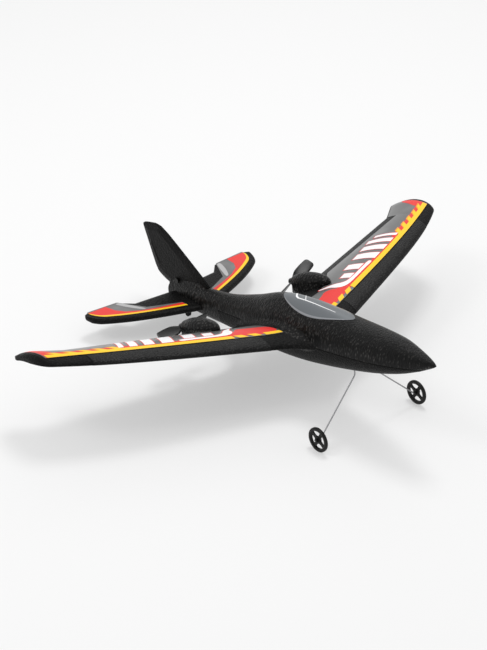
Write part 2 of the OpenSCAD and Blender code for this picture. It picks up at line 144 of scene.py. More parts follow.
FOAM = foam("foam")
FOAM_SIDE = foam("foam_wrinkled", stretch=(1.5, 1.2, 0.42), scale=560, high=0.085)
FOAM_FINE = foam("foam_fine", scale=800, bump=0.7, low=0.003, high=0.022, rough=0.48, spec=0.1)
EDGE = foam("edge_skin", scale=900, bump=0.6, low=0.004, high=0.045, rough=0.36, spec=0.16)
# Near-black for thin sheets laid where a groove, a gap or a slot is: painted shade.
RECESS_SHADE = material("recess_painted_shade", (0.004, 0.004, 0.004), 0.9, 0, 0.2)
FILM = grain_and_glints(material("film_grey", (0.2, 0.2, 0.2), 0.3, 0.25, 0.4, 0.1),
             (1, 1, 1), 60, 0.14, 0.2, 0.02, 0.1, (1, 1, 1))
WHITE = material("film_white", (0.86, 0.86, 0.87), 0.4, 0, 0.3)
# Pale grey for the strip on the tail film: a painted highlight.
GLARE_PAINT = material("film_painted_glare", (0.45, 0.45, 0.45), 0.35, 0.1, 0.3)
RED = material("film_red", (0.76, 0.032, 0.026), 0.4, 0, 0.3)
YELLOW = material("film_yellow", (0.95, 0.58, 0.008), 0.4, 0, 0.3)
ORANGE = material("film_orange", (0.9, 0.27, 0.02), 0.4, 0, 0.3)
CANOPY = material("canopy_silver", (0.135, 0.147, 0.158), 0.32, 0.3, 0.4, 0.1)
CANOPY_RIM = material("canopy_rim", (0.28, 0.29, 0.31), 0.35, 0.3, 0.4, 0.1)
GLOSS = material("gloss_black", (0.003, 0.003, 0.003), 0.28, 0, 0.2, 0.0)
BLACK = grain_and_glints(material("black_plastic", (0.006, 0.006, 0.006), 0.42, 0, 0.2),
              (1, 1, 1), 1400, 0.004, 0.007, 0.05)
STEEL = material("steel", (0.3, 0.3, 0.31), 0.35, 1.0)
MOTOR = grain_and_glints(material("motor_steel", (0.5, 0.5, 0.51), 0.3, 0.95),
              (0.2, 1, 1), 900, 0.42, 0.5, 0.05, 0.4, (1, 1, 1))
SHEEN = material("white_plastic", (0.8, 0.8, 0.79), 0.4)
CARBON = grain_and_glints(material("carbon", (0.02, 0.02, 0.02), 0.3, 0, 0.5, 0.3),
               (0.3, 1, 1), 1600, 0.012, 0.03, 0.1, 0.4, (1, 1, 1))
WRAP = material("battery_wrap", (0.5, 0.56, 0.63), 0.32, 0.3, 0.5, 0.2)
BOARD = grain_and_glints(material("circuit_board", (0.015, 0.12, 0.045), 0.4),
              (1, 1, 1), 500, 0.03, 0.06, 0.05, 0.4, (0.3, 1.6, 0.6))
TIN = material("shield_tin", (0.6, 0.61, 0.62), 0.3, 1.0)


# ---------------------------------------------------------------- meshes
def piece(name, verts, faces, skin, body="airframe", stands_for=(), sharp=38, flip=False,
          marks=None):
    """A mesh in airframe millimetres. marks gives each face's material number when skin is a list."""
    skins = skin if isinstance(skin, (list, tuple)) else [skin]
    verts = np.array(verts, float).reshape(-1, 3)
    if flip:
        verts = verts * [1, -1, 1]
    me = bpy.data.meshes.new(name)
    me.from_pydata(stance(verts).tolist(), [], [list(f) for f in faces])
    for m in skins:
        me.materials.append(m)
    if marks is not None:
        me.polygons.foreach_set("material_index", np.asarray(marks, np.int32))
    bm = bmesh.new()
    bm.from_mesh(me)
    bmesh.ops.remove_doubles(bm, verts=bm.verts, dist=2e-7)
    bmesh.ops.recalc_face_normals(bm, faces=bm.faces)
    bm.to_mesh(me)
    bm.free()
    me.shade_smooth()
    me.set_sharp_from_angle(angle=math.radians(sharp))
    o = bpy.data.objects.new(name, me)
    bpy.context.scene.collection.objects.link(o)
    if stands_for:
        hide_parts(*stands_for)
    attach(o, body)
    return o


def grid(rows, cols, wrap=False, start=0):
    wide = cols if wrap else cols - 1
    return [(start + i * cols + j, start + (i + 1) * cols + j,
             start + (i + 1) * cols + (j + 1) % cols, start + i * cols + (j + 1) % cols)
            for i in range(rows - 1) for j in range(wide)]


def shell(rings):
    """Closed solid through rings of points."""
    rings = np.asarray(rings, float)
    m, n = rings.shape[:2]
    ends = [tuple(range(n)), tuple(range(m * n - 1, (m - 1) * n - 1, -1))]
    return rings.reshape(-1, 3), grid(m, n, True) + ends


def joined(parts):
    """One vertex list and face list from several."""
    verts, faces, base = [], [], 0
    for v, f in parts:
        v = np.asarray(v, float).reshape(-1, 3)
        verts.append(v)
        faces += [tuple(i + base for i in face) for face in f]
        base += len(v)
    return np.concatenate(verts), faces


def cut(o, lows, highs):
    """Cuts a box, in airframe millimetres, out of a piece."""
    corners = [[(lows, highs)[(i >> k) & 1][k] for k in range(3)] for i in range(8)]
    faces = [(0, 2, 3, 1), (4, 5, 7, 6), (0, 1, 5, 4), (2, 6, 7, 3), (0, 4, 6, 2), (1, 3, 7, 5)]
    me = bpy.data.meshes.new("tool")
    me.from_pydata(stance(corners).tolist(), [], faces)
    tool = bpy.data.objects.new("tool", me)
    bpy.context.scene.collection.objects.link(tool)
    mod = o.modifiers.new("cut", "BOOLEAN")
    mod.operation, mod.solver, mod.object = "DIFFERENCE", "EXACT", tool
    view = bpy.context.evaluated_depsgraph_get()
    view.update()
    new = bpy.data.meshes.new_from_object(o.evaluated_get(view))
    o.modifiers.clear()
    o.data = new
    bpy.data.objects.remove(tool)
    o.data.set_sharp_from_angle(angle=math.radians(38))


def ease(t):
    return t * t * (3 - 2 * t)


# ---------------------------------------------------------------- fuselage
R = 2.2
SEAM = -4.0
BELLY_TAIL = -70.0
STATIONS = np.array([
    [157.5, .5, -.3, .4], [155, 2.1, -1.8, 1.9], [150, 4.3, -3.9, 4.1], [141, 7.6, -7.4, 7.3],
    [125, 12.2, -12.2, 12], [105, 14.9, -16.2, 15.2], [82, 17.2, -19.4, 16.8], [55, 20.3, -22.4, 17.2],
    [28, 22.6, -24.4, 16.5], [0, 21.6, -24.6, 14.5], [-28, 14.5, -22.4, 11.5], [-60, 8.4, -19, 8.5],
    [-90, 7.4, -16.2, 6.6], [-115, 6, -13.5, 5.2], [-138, 3, -9.6, 3.4]])
TOP, LOW, HALF = 1, 2, 3


def curve(x, c):
    """Smooth curve through column c of the stations."""
    x = np.asarray(x, float)
    last = len(STATIONS) - 1
    i = np.clip(np.searchsorted(-STATIONS[:, 0], -x, side="right") - 1, 0, last - 1)

    def slope(j):
        a, b = STATIONS[np.maximum(j - 1, 0)], STATIONS[np.minimum(j + 1, last)]
        return (b[..., c] - a[..., c]) / (b[..., 0] - a[..., 0])

    a, b = STATIONS[i], STATIONS[i + 1]
    w = b[..., 0] - a[..., 0]
    f = (x - a[..., 0]) / w
    g = 1 - f
    return (a[..., c] * g * g * (1 + 2 * f) + b[..., c] * f * f * (3 - 2 * f)
            + w * (slope(i) * f * g * g - slope(i + 1) * f * f * g))


def middle(x):
    return curve(x, LOW) + 0.45 * (curve(x, TOP) - curve(x, LOW))


def section(x, a, swell=0.0):
    """Points of the fuselage's section at x, at angles a from port over the top."""
    top, low, half, mid = curve(x, TOP) + swell, curve(x, LOW) - swell, curve(x, HALF) + swell, middle(x)
    s, c = np.sin(a), np.cos(a)
    d = np.sign(s) * np.abs(s) ** (2 / R)
    y = half * np.sign(c) * np.abs(c) ** (2 / R)
    return np.stack([np.full_like(y, x), y, mid + d * np.where(d > 0, top - mid, mid - low)], -1)


def side_y(x, z):
    """Half width of the fuselage at height z."""
    mid = middle(x)
    h = np.where(z > mid, curve(x, TOP) - mid, mid - curve(x, LOW))
    return curve(x, HALF) * np.maximum(0, 1 - np.minimum(np.abs(z - mid) / h, 1) ** R) ** (1 / R)


def deck_z(x, y):
    mid = middle(x)
    k = np.minimum(np.abs(y) / curve(x, HALF), 1)
    return mid + (curve(x, TOP) - mid) * (1 - k ** R) ** (1 / R)


def seam_angle(x):
    mid = float(middle(x))
    d = (SEAM - mid) / (mid - curve(x, LOW) if SEAM < mid else curve(x, TOP) - mid)
    d = max(-1.0, min(1.0, float(d)))
    return math.asin(math.copysign(abs(d) ** (R / 2), d))


def half_rings(xs, upper, n=132):
    """Rings of one side of the parting line, drawn in a little along it for a visible seam."""
    u = (1 - np.cos(np.pi * np.arange(n + 1) / n)) / 2
    rings = []
    for x, whole in xs:
        a0 = -math.pi / 2 if whole else seam_angle(x)
        a = a0 + (math.pi - 2 * a0) * u if upper else math.pi - a0 + (math.pi + 2 * a0) * u
        p = section(x, a)
        if not whole:
            near = np.clip(1 - np.abs(p[:, 2] - SEAM) / 0.8, 0, 1) ** 2
            p[:, 1] -= np.sign(p[:, 1]) * np.minimum(0.35 * near, np.abs(p[:, 1]))
            p[:, 2] += (0.06 if upper else -0.06) * near
        rings.append(p)
    return rings


nose = 157.5 - 6 * (1 - np.cos(np.linspace(0.12, math.pi / 2, 9)))
split_x = 149.0
upper_x = [(x, True) for x in nose if x > split_x]
upper_x += [(x, True) for x in np.arange(nose[-1] - 0.6, split_x, -0.6)] + [(split_x, True), (split_x, False)]
upper_x += [(x, False) for x in np.arange(split_x - 1, BELLY_TAIL, -1.4)] + [(BELLY_TAIL, False)]
upper_x += [(x, True) for x in np.arange(BELLY_TAIL, -137.5, -1.4)] + [(-138, True)]
rings = half_rings(upper_x, True)
end = section(-138.0, (np.linspace(0, 1, len(rings[0])) * 2 - 0.5) * math.pi)
heart = end.mean(0)
for k in np.linspace(10, 85, 7):
    r = math.radians(k)
    rings.append(heart + (rings[-1] * 0 + end - heart) * math.cos(r) - [2.4 * math.sin(r), 0, 0])
v, f = shell(rings)
piece("fuselage_upper_shell", v, f, FOAM_SIDE, stands_for=["fuselage_upper"])

belly_x = [(x, False) for x in [split_x, *np.arange(split_x - 1, BELLY_TAIL, -1.4), BELLY_TAIL + 0.12]]
v, f = shell(half_rings(belly_x, False))
belly = piece("fuselage_belly_shell", v, f, FOAM_FINE, stands_for=["fuselage_belly"])
cut(belly, (28, -6, -40), (58, 6, -20))
cut(belly, (31.4, -2.5, -21), (40.6, 2.5, -15.9))
cut(belly, (45.3, -3.1, -21), (52.7, 3.1, -15.3))


# ---------------------------------------------------------------- wings
def corner(y, limit, r):
    return np.where(y <= limit - r, 0, r - np.sqrt(np.maximum(0, r * r - (y - (limit - r)) ** 2)))


def wing_lead(y):
    return 47 - 0.324 * y - 15 * (y / HALF_SPAN) ** 6


def wing_trail(y):
    return -33.4 - 0.156 * y


def strake(y):
    return 24 * np.exp(-(np.maximum(y - 10, 0) / 9) ** 1.6)


def heel(y):
    """Small fairing behind the wing's root, blended into the fuselage."""
    return 12 * np.exp(-(np.maximum(y - 10, 0) / 8) ** 1.6)


def lead(y):
    return wing_lead(y) + strake(y) - 2 * corner(y, HALF_SPAN, 6.5)


def trail(y):
    step = 10.5 * np.clip((y - HALF_SPAN + 27) / 18, 0, 1)
    return wing_trail(y) - heel(y) - step + corner(y, HALF_SPAN, 12)


def wing_t(y):
    return (10.5 - 4.7 * y / HALF_SPAN) * (1 - 0.6 * np.clip((y - HALF_SPAN + 4) / 4, 0, 1) ** 2)


def form(s):
    return 2.969 * np.sqrt(s) - 1.26 * s - 3.516 * s ** 2 + 2.843 * s ** 3 - 1.015 * s ** 4


def mean_z(y, s):
    c = lead(y) - trail(y)
    x = lead(y) - c * s
    arch = 0.062 * (c - strake(y) - heel(y)) * 4 * s * (1 - s)
    return -11.8 + y * math.tan(math.radians(11.7)) + x * math.tan(math.radians(3.7)) + arch


def top_z(y, s):
    return mean_z(y, s) + 0.62 * wing_t(y) * form(s) + 0.9 * s


def low_z(y, s):
    return mean_z(y, s) - 0.38 * wing_t(y) * form(s) - 0.9 * s


def chord_s(y, x):
    return np.clip((lead(y) - x) / (lead(y) - trail(y)), 0, 1)


def wing_top(x, y):
    """Height of the wing's upper surface."""
    return top_z(y, chord_s(y, x))


def film_front(y):
    return 32.8 - 0.3 * y - 11.3 * (y / HALF_SPAN) ** 5


def film_rear(y):
    inner = -8 + (trail(y) + 20.5) * np.clip((y - 44) / 29, 0, 1)
    return np.where(y > HALF_SPAN - 27, trail(y) + 1.2, inner)


def wing_rings():
    ys = np.concatenate([np.arange(8, 34, 0.8), np.arange(34, 160, 1.6), np.arange(160, 184, 0.8),
                         184 + 6 * np.sin(np.linspace(0, math.pi / 2, 22))])
    s = (1 - np.cos(np.pi * np.arange(0, 65) / 64)) / 2
    rows = []
    for y in ys:
        y = np.float64(y)
        x = lead(y) + (trail(y) - lead(y)) * s
        up, dn = top_z(y, s), low_z(y, s)
        ring = np.concatenate([np.stack([x, np.full_like(x, y), up], -1)[::-1],
                               np.stack([x, np.full_like(x, y), dn], -1)[1:]])
        rows.append(ring)
    return rows


def fillet(upper, points):
    """Concave strip that carries the wing's surface into the fuselage's side, closed underneath."""
    rings = []
    for x, r in points:
        ys = np.linspace(5, 34, 900)
        ok = (lead(ys) > x) & (trail(ys) < x)
        s = chord_s(ys, x)
        z = top_z(ys, s) if upper else low_z(ys, s)
        inside = ok & (ys < side_y(x, z))
        if not inside.any():
            continue
        k = int(np.nonzero(inside)[0][-1])
        y0, z0 = ys[k], z[k]
        out = min(y0 + r, 33.5)
        if not lead(np.float64(out)) > x:
            out = float(ys[np.nonzero(ok)[0][-1]])
        z1 = float((top_z if upper else low_z)(np.float64(out), chord_s(np.float64(out), x)))
        z2 = z0 + (r if upper else -r) * 0.9
        y2 = float(side_y(x, z2))
        t = np.linspace(0, 1, 13)[:, None]
        a, b, c = np.array([x, out, z1]), np.array([x, y0, z0]), np.array([x, y2, z2])
        line = a * (1 - t) ** 2 + 2 * b * t * (1 - t) + c * t * t
        sink = np.array([x, y0 - 1.2, z0 - (0.8 if upper else -0.8)])
        rings.append(np.concatenate([line, [sink]]))
    return shell(rings)


def fillet_points(front, back, r):
    """Places along the fairing and its radius there, which grows from the front and draws in at the rear."""
    points = []
    for x in np.linspace(front, back, 70):
        grown = ease(min(1, (front - x) / 16 + 0.02))
        points.append((x, 0.4 + r * grown * (0.75 + 0.25 * min(1, (x - back) / 14))))
    return points


def inflate(outline, d):
    """A closed outline grown outwards by d."""
    p = np.array(outline, float)
    n = len(p)
    area = sum(p[i][0] * p[(i + 1) % n][1] - p[(i + 1) % n][0] * p[i][1] for i in range(n))
    turn = 1 if area > 0 else -1
    out = []
    for i in range(n):
        a, b = p[i] - p[i - 1], p[(i + 1) % n] - p[i]
        a, b = a / (np.linalg.norm(a) + 1e-9), b / (np.linalg.norm(b) + 1e-9)
        na, nb = np.array([a[1], -a[0]]) * turn, np.array([b[1], -b[0]]) * turn
        m = na + nb
        m = m / max(np.linalg.norm(m), 0.5)
        out.append(p[i] + m * d / max(0.6, float(m @ na)))
    return out


def rounded(outline, times=2):
    """Cuts an outline's corners to soften them."""
    p = np.array(outline, float)
    for _ in range(times):
        q = np.roll(p, -1, 0)
        p = np.stack([p * 0.78 + q * 0.22, p * 0.22 + q * 0.78], 1).reshape(-1, 2)
    return p.tolist()


def laid(outline, surface, rise, step=2.0):
    """A flat outline cut into small faces and laid on a surface, rise above it: (verts, faces)."""
    bm = bmesh.new()
    bm.faces.new([bm.verts.new((x, y, 0)) for x, y in outline])
    bm.normal_update()
    bmesh.ops.triangulate(bm, faces=bm.faces[:])
    p = np.array(outline)
    for axis in (0, 1):
        for v in np.arange(math.ceil(p[:, axis].min() / step) * step, p[:, axis].max(), step):
            co, no = [0, 0, 0], [0, 0, 0]
            co[axis], no[axis] = float(v), 1
            bmesh.ops.bisect_plane(bm, geom=bm.verts[:] + bm.edges[:] + bm.faces[:], dist=1e-5,
                                   plane_co=co, plane_no=no)
    bm.verts.index_update()
    flat = np.array([v.co[:2] for v in bm.verts])
    faces = [tuple(v.index for v in face.verts) for face in bm.faces]
    bm.free()
    z = surface(flat[:, 0], flat[:, 1]) + rise
    return np.column_stack([flat, z]), faces


def band(front, back, start, stop, count=60):
    """Outline of a strip between two edges x(y)."""
    ys = np.linspace(start, stop, count)
    return [(float(front(y)), float(y)) for y in ys] + [(float(back(y)), float(y)) for y in ys[::-1]]


def layered(name, layers, surface, stands_for, flip, lift=0.14):
    """Printed sheet: each layer is (material, outline, level); higher levels lie on lower ones."""
    skins = list({m.name: m for m, _, _ in layers}.values())
    parts, marks = [], []
    for m, outline, level in layers:
        v, f = laid(outline, surface, lift + 0.045 * level)
        parts.append((v, f))
        marks += [skins.index(m)] * len(f)
    v, f = joined(parts)
    piece(name, v, f, skins, stands_for=stands_for, flip=flip, marks=marks, sharp=60)


def stripe_rear(y):
    """Rear edge of the yellow stripe."""
    return film_front(y) - 4.6


def slanted(y, wide, long, gap):
    """Slanted bar whose front lies gap behind the yellow stripe."""
    inner, outer, slant = stripe_rear(y) - gap, stripe_rear(y + wide) - gap, 0.42 * long
    return [(inner, y), (outer, y + wide), (outer - long, y + wide - slant), (inner - long, y - slant)]


def red_rear(y):
    """Rear edge of the red band behind the stripe, which widens towards the tip."""
    return stripe_rear(y) - 1.1 - 3.6 * ease(min(1, max(0, (y - 118) / 14)))


SWEEP = [(-9.3, 43.2), (-5.6, 46.2), (-2.2, 49.2), (2.5, 50.2), (6.2, 52.6), (8.0, 56.5), (7.6, 61),
         (4.6, 72), (1.4, 82), (-1.2, 93), (-4.9, 92), (-1.6, 81), (2.2, 68), (3.1, 62), (1.6, 58),
         (-2.4, 55), (-6.2, 50.5), (-8.2, 46.8), (-10.2, 44.2)]
# Each bar: inboard place, width, length, distance behind the stripe
BARS = [(66, 7, 8, 6.5), (79, 8, 12, 6.5), (97, 8.5, 18, 1.5), (110.5, 7, 19, 1.5), (122, 5.5, 20, 1.5),
        (131.5, 3.5, 18, 1.5)]
WHITES = [rounded(SWEEP, 2)] + [slanted(*bar) for bar in BARS]
RED_IN = [(21.2, 22), (20.2, 34), (16.6, 45), (11.2, 62), (6, 80), (-4, 106), (-7.6, 106), (2, 80),
          (5.5, 62), (5.2, 50), (0.5, 47), (-1.5, 42), (1.5, 37), (4, 30), (8, 22)]


def guard(start, stop, out, count, back=0.8):
    """Skin moulded round the leading edge, thicker by out, with a fine ridge along it."""
    u = np.linspace(1, -1, 41)
    ridge = 0.14 * np.exp(-((u + 0.2) / 0.05) ** 2)
    swell = (out * np.clip((1 - np.abs(u)) / 0.06, 0.25, 1) + ridge)[:, None]
    rings = []
    for y in np.linspace(start, stop, count):
        y = np.float64(y)
        reach = float(chord_s(y, film_front(y) + back))
        s = reach * np.abs(u) ** 1.7
        x = lead(y) + (trail(y) - lead(y)) * s
        z = np.where(u > 0, top_z(y, s), low_z(y, s))
        d = np.stack([x - (lead(y) - 6), z - mean_z(y, np.float64(0.08))], -1)
        d /= np.linalg.norm(d, axis=1)[:, None]
        hi = np.stack([x, np.full_like(x, y), z], -1)
        lo = hi.copy()
        hi[:, [0, 2]] += d * swell
        lo[:, [0, 2]] -= d * 0.2
        rings.append(np.concatenate([hi, lo[::-1]]))
    return shell(rings)


for side, sign in SIDES:
    flip = sign < 0
    v, f = shell(wing_rings())
    piece(side + "_wing_skin", v, f, FOAM_FINE, stands_for=[side + "_wing"], flip=flip)
    top_strip = fillet(True, fillet_points(54.5, -44.0, 6.0))
    low_strip = fillet(False, fillet_points(53.5, -44.0, 4.0))
    v, f = joined([top_strip, low_strip])
    piece(side + "_wing_fairing", v, f, FOAM, flip=flip, sharp=75)

    film = band(film_front, film_rear, 22.0, 184.4, 110)
    layers = [(FILM, film, 0), (RED, rounded(RED_IN, 1), 1)]
    layers += [(RED, band(stripe_rear, red_rear, 100, 181), 1)]
    layers += [(RED, [(film_front(176.0), 176), (film_front(183.6), 183.6), (-46, 184), (-55, 184.3),
                      (-62, 184.3), (-58, 181), (-48, 178.4), (-40, 176)], 1)]
    layers += [(RED, inflate(w, 0.6), 2) for w in WHITES]
    layers += [(WHITE, w, 3) for w in WHITES]
    layers += [(YELLOW, band(film_front, stripe_rear, 57.5, 183.2, 90), 4)]
    for a in (37.2, 47.4):
        layers += [(YELLOW, [(film_front(a) - 0.4, a), (film_front(a + 6.4) - 0.4, a + 6.4),
                             (stripe_rear(a + 9.0), a + 9.0), (stripe_rear(a + 2.6), a + 2.6)], 4)]
    layers += [(YELLOW, band(lambda y: film_front(y) - 0.4, stripe_rear, 22.4, 34.6, 12), 4)]
    for k in range(5):
        a = 133 + 9.6 * k
        back = 6.4 - 0.5 * k
        orange = [(stripe_rear(a) + 0.2, a), (stripe_rear(a + 5.6) + 0.2, a + 5.6),
                  (stripe_rear(a + 9.4) - back, a + 9.4), (stripe_rear(a + 3.6) - back, a + 3.6)]
        yellow = [(stripe_rear(a) + 0.2, a + 0.5), (stripe_rear(a + 5) + 0.2, a + 5),
                  (stripe_rear(a + 8) - back + 1.2, a + 8), (stripe_rear(a + 4) - back + 1.2, a + 4)]
        layers += [(ORANGE, orange, 2), (YELLOW, yellow, 3)]
    layered(side + "_wing_print", layers, wing_top, [side + "_wing_film"], flip)

    v, f = guard(41, 160, 0.22, 90)
    piece(side + "_edge_skin", v, f, EDGE, stands_for=[side + "_edge_guard"], flip=flip)
    # A thin dark ring round the leading edge where the skin ends: painted shade of the gap there.
    v, f = guard(160.0, 160.8, 0.1, 3, 0.3)
    piece(side + "_edge_gap_shade", v, f, RECESS_SHADE, flip=flip)
    # A thin dark strip just ahead of the film's front edge: painted shade of the groove there.
    v, f = laid(band(lambda y: film_front(y) + 0.75, film_front, 22.2, 184.2, 110), wing_top, 0.1)
    piece(side + "_film_edge_shade", v, f, RECESS_SHADE, flip=flip)


# ---------------------------------------------------------------- tail
def tail_lead(y):
    return -89.7 - 0.365 * y - 10.6 * (y / HALF_TAIL) ** 4 - 1.5 * corner(y, HALF_TAIL + 0.2, 7)


def tail_trail(y):
    return -132.8 - 0.033 * y - 9.9 * np.clip((y - 39.7) / 9.3, 0, 1) + corner(y, HALF_TAIL + 0.2, 7)


def tail_top(x, y):
    return -3 + 0.03 * y - (x + 115) * 0.105


def tail_front(y):
    return -95.4 - 0.365 * y - 10.6 * (y / HALF_TAIL) ** 4 - 1.5 * corner(y, HALF_TAIL - 3.4, 8)


def tail_bare(y):
    """Rear edge of the tail film, which leaves the inboard rear corner bare."""
    inner = np.where(y < 38, -108 - 0.48 * (y - 13), -120 - 2 * (y - 38))
    return np.maximum(tail_trail(y) + 0.8, inner)


def tail_ring(y, sign):
    y = np.float64(y)
    a, b = tail_lead(y), tail_trail(y)
    t = 4.8 * (1 - 0.5 * np.clip((y - HALF_TAIL + 2) / 2, 0, 1) ** 2)
    c = a - b
    q = np.linspace(0, math.pi, 17)
    e = min(0.45, 0.62 * t / c)
    front = [(e * (1 - math.sin(k)), 0.5 - 0.5 * math.cos(k)) for k in q]
    rear = [(0.3, 1), (0.6, 1), (0.85, 0.99), (0.95, 0.9), (0.99, 0.8), (1, 0.7),
            (1, 0.3), (0.99, 0.2), (0.95, 0.1), (0.85, 0.01), (0.6, 0), (0.3, 0)]
    rear = [(max(u, e), w) for u, w in rear]
    pts = []
    for u, w in front + rear:
        x = a - c * u
        pts.append((x, y * sign, tail_top(x, y) - w * t))
    return pts


half = np.concatenate([np.linspace(0, 38, 20), np.linspace(39.7, 49, 12), np.linspace(51, 74, 14),
                       74 + 8 * np.sin(np.linspace(0.08, math.pi / 2, 20))])
rings = [tail_ring(y, -1) for y in half[::-1]] + [tail_ring(y, 1) for y in half[1:]]
v, f = shell(rings)
piece("tailplane_skin", v, f, FOAM_FINE, stands_for=["tailplane"])

for side, sign in SIDES:
    yellow_rear = lambda y: tail_front(y) - 2.6 - 1.0 * (y / HALF_TAIL) ** 2
    red = [(float(yellow_rear(y)), float(y)) for y in np.linspace(13.4, 77.4, 40)]
    red += [(-142.6, 77.4), (-142.9, 61), (-132, 59.4), (-124.6, 55), (-117.8, 45), (-112, 30),
            (-107.2, 13.4)]
    # A pale strip near the tail's notch on each side: painted highlight.
    shine = [(-117.5, 39.6), (-118.6, 43), (-129, 48.6), (-141.6, 53.2), (-142.3, 49.4), (-131.6, 45)]
    layers = [(FILM, band(tail_front, tail_bare, 13, 77.9, 90), 0), (RED, red, 1),
              (GLARE_PAINT, rounded(shine, 2), 1), (YELLOW, band(tail_front, yellow_rear, 13.2, 77.8, 90), 2)]
    layered(side + "_tail_print", layers, tail_top, [side + "_tail_film"], sign < 0, 0.12)

# Fin outline in the middle plane
FIN = [(-92, 2.6), (-85.6, 8.4), (-140, 51.6), (-160.3, 50.5), (-163.3, 48.9), (-152.9, 10.8), (-138.6, 2.8)]


def edge_distance(x, z):
    """Distance to the fin's outline, its root left out."""
    best = np.full(np.shape(x), 99.0)
    for a, b in zip(FIN, FIN[1:]):
        d = np.subtract(b, a)
        t = np.clip(((x - a[0]) * d[0] + (z - a[1]) * d[1]) / (d @ d), 0, 1)
        best = np.minimum(best, np.hypot(x - a[0] - d[0] * t, z - a[1] - d[1] * t))
    return best


def fin_half(x, z):
    """Half thickness of the fin, with a crease along its bevel."""
    d = edge_distance(x, z)
    crease = 0.14 * np.clip(1 - np.abs(d - 6) / 0.9, 0, 1)
    return 0.8 + 1.15 * np.clip(d / 6, 0, 1) + crease - 0.25 * np.clip(1 - d / 0.7, 0, 1)


def upright(flat, sign):
    """Turns a sheet laid over x and z so that its height runs along y."""
    v, f = flat
    return np.column_stack([v[:, 0], v[:, 2] * sign, v[:, 1]]), f


def capsule(a, b, r, count=14):
    """Outline of a slot with round ends between two points."""
    a, b = np.array(a), np.array(b)
    d = (b - a) / np.linalg.norm(b - a)
    across = np.array([-d[1], d[0]])
    turn = np.linspace(-math.pi / 2, math.pi / 2, count)
    pts = [b + r * (d * math.cos(t) + across * math.sin(t)) for t in turn]
    pts += [a - r * (d * math.cos(t) + across * math.sin(t)) for t in turn]
    return [(float(p[0]), float(p[1])) for p in pts]


outer = rounded(FIN, 2)
rim = [[(x, y, z) for x, z in outer + outer[:1]] for y in np.linspace(-0.55, 0.55, 5)]
parts = [upright(laid(outer, fin_half, 0, 0.8), sign) for sign in (1, -1)]
parts.append((np.array(rim).reshape(-1, 3), grid(5, len(outer) + 1)))
v, f = joined(parts)
piece("fin_skin", v, f, FOAM_FINE, stands_for=["fin"], sharp=50)
# A dark slot shape on each side of the fin: painted shade of the clip hole.
slot = capsule((-153.6, 34), (-146.6, 19.4), 1.1)
v, f = joined([upright(laid(slot, fin_half, 0.04, 0.8), sign) for sign in (1, -1)])
piece("fin_slot_shade", v, f, RECESS_SHADE)

rings = []
for x in np.linspace(-88.5, -137, 50):
    r = 4.2 * ease(min(1, (-88.5 - x) / 10 + 0.05))
    zt = float(curve(x, TOP))
    low = min(r, float(curve(x, HALF)) - 2.4)
    t = np.linspace(0, 1, 11)[:, None]
    a, b = np.array([x, 1.9, zt + r]), np.array([x, 1.95, zt - 0.1])
    c = np.array([x, 2 + low, float(deck_z(x, 2 + low))])
    line = a * (1 - t) ** 2 + 2 * b * t * (1 - t) + c * t * t
    rings.append(np.concatenate([line, [[x, 0.5, zt - 1.5]]]))
v, f = shell(rings)
for side, sign in SIDES:
    piece(side + "_fin_fairing", v, f, FOAM, flip=sign < 0, sharp=75)


# ---------------------------------------------------------------- lathed and swept helpers
def lathe(profile, origin, axis, count=64):
    """Turned solid: profile of (along, radius) about an axis."""
    axis = np.array(axis, float) / np.linalg.norm(axis)
    u = np.cross(axis, [0, 0, 1.0] if abs(axis[2]) < 0.9 else [1.0, 0, 0])
    u /= np.linalg.norm(u)
    w = np.cross(axis, u)
    a = np.linspace(0, 2 * math.pi, count, endpoint=False)
    ring = np.cos(a)[:, None] * u + np.sin(a)[:, None] * w
    return shell([np.array(origin) + axis * s + ring * max(r, 1e-3) for s, r in profile])


def tube(path, r, count=16):
    """Round bar along a path."""
    path = np.array(path, float)
    tang = np.gradient(path, axis=0)
    tang /= np.linalg.norm(tang, axis=1)[:, None]
    turns = np.linspace(0, 2 * math.pi, count, endpoint=False)
    rings = []
    for p, t in zip(path, tang):
        u = np.cross(t, [1.0, 0, 0])
        u /= np.linalg.norm(u)
        w = np.cross(t, u)
        rings.append([p + r * (math.cos(k) * u + math.sin(k) * w) for k in turns])
    return shell(rings)


# ---------------------------------------------------------------- power pods
TILT = math.radians(10)
ENGINE = np.array([-52, 54, 2.6])
AHEAD = np.array([math.cos(TILT), 0, math.sin(TILT)])
UP = np.array([-math.sin(TILT), 0, math.cos(TILT)])
ACROSS = np.array([0, 1.0, 0])


# Radius of each propeller, and where its tips begin to round
PROP_R, TIP_R = 23.0, 20.6


def pod_radius(t):
    return 7.6 * (0.66 + 0.34 * math.sin(math.pi / 2 * t / 0.36) if t < 0.36
                  else math.sqrt(max(0, 1 - ((t - 0.36) / 0.64) ** 2.3)))


pod = [(3.4, 3.65), (3.4, 4.4), (3.5, 4.8)]
pod += [(3.6 + 40.8 * t, pod_radius(t)) for t in np.sin(np.linspace(0, math.pi / 2, 60))]

# Section of a blade: part of its chord, part of its thickness
BLADE_FORM = [(-0.5, 0.0), (-0.47, 0.2), (-0.36, 0.4), (-0.2, 0.5), (0.0, 0.5), (0.25, 0.42),
              (0.42, 0.2), (0.5, 0.0), (0.42, -0.1), (0.25, -0.22), (0.0, -0.3), (-0.2, -0.32),
              (-0.36, -0.28), (-0.47, -0.16)]


